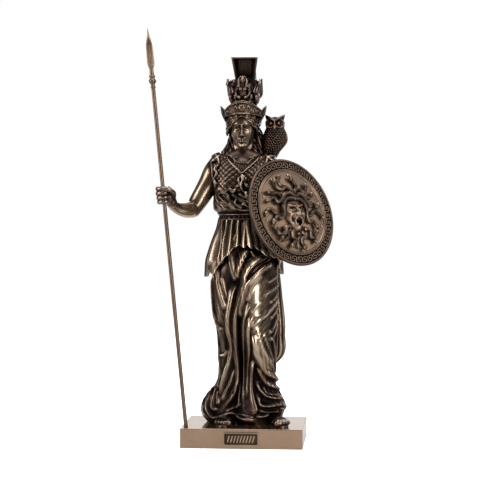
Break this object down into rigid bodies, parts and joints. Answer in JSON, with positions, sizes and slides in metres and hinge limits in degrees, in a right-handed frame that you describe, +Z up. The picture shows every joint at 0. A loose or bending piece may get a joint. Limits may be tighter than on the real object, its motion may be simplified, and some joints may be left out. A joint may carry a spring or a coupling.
{
  "type": "statuette of a goddess",
  "caption": "Standing robed goddess in a crested helmet with upright spear, shoulder owl and round snake-head shield, on a low rectangular plinth",
  "frame": {"origin": "centre of the plinth's underside, on the surface it stands on", "axes": "+Z up along the figure, -Y the way the figure and the name plate face, +X towards the viewer's right (the shield side)"},
  "size_m": [0.1575, 0.1074, 0.3554],
  "materials": {
    "plinth_bronze": "satin bronze coat, rubbed smooth",
    "plate_bronze": "cast bronze, dark in the recesses",
    "figure_bronze": "dark patina with rubbed bronze highlights",
    "owl_bronze": "reddish brown bronze, dark in the recesses",
    "shield_bronze": "satin bronze, dark key band",
    "spear_bronze": "satin bronze rod"
  },
  "bodies": {
    "root": {"plinth": "plinth_bronze", "nameplate": "plate_bronze", "figure": "figure_bronze", "owl": "owl_bronze", "shield": "shield_bronze", "spear": "spear_bronze"}
  },
  "joints": []
}
